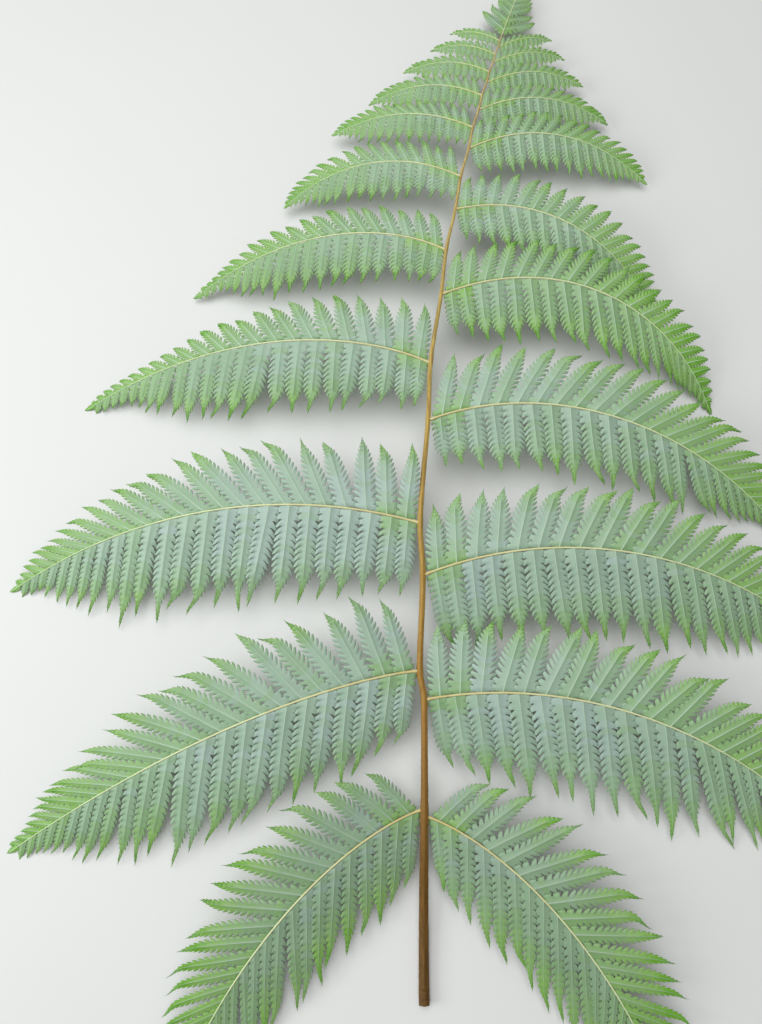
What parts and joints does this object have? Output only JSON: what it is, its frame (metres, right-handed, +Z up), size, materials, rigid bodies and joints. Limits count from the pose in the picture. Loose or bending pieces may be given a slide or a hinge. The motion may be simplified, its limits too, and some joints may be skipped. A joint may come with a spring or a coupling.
{
  "type": "tree fern frond",
  "caption": "Cut frond of a young tree fern, lying face up: a brown stalk, a golden midrib and feathery pinnae of toothed leaflets.",
  "frame": {"origin": "centre of the flat cut at the foot of the stalk", "axes": "+Y up the frond from the cut to the tip, +Z up out of its upper face, +X to the right with the tip away"},
  "size_m": [0.6814, 1.0303, 0.0565],
  "materials": {
    "stipe": "rough brown stalk with dark scales",
    "rachis": "satin golden-tan midrib",
    "pinna": "satin grey-green leaflets on a pale yellow rib",
    "frond_tip": "satin yellow-green"
  },
  "bodies": {
    "root": {"stipe": "stipe", "rachis": "rachis", "pinna_left_01": "pinna", "pinna_left_02": "pinna", "pinna_left_03": "pinna", "pinna_left_04": "pinna", "pinna_left_05": "pinna", "pinna_left_06": "pinna", "pinna_left_07": "pinna", "pinna_left_08": "pinna", "pinna_left_09": "pinna", "pinna_left_10": "pinna", "pinna_left_11": "pinna", "pinna_right_01": "pinna", "pinna_right_02": "pinna", "pinna_right_03": "pinna", "pinna_right_04": "pinna", "pinna_right_05": "pinna", "pinna_right_06": "pinna", "pinna_right_07": "pinna", "pinna_right_08": "pinna", "pinna_right_09": "pinna", "pinna_right_10": "pinna", "pinna_right_11": "pinna", "frond_tip": "frond_tip"}
  },
  "joints": []
}
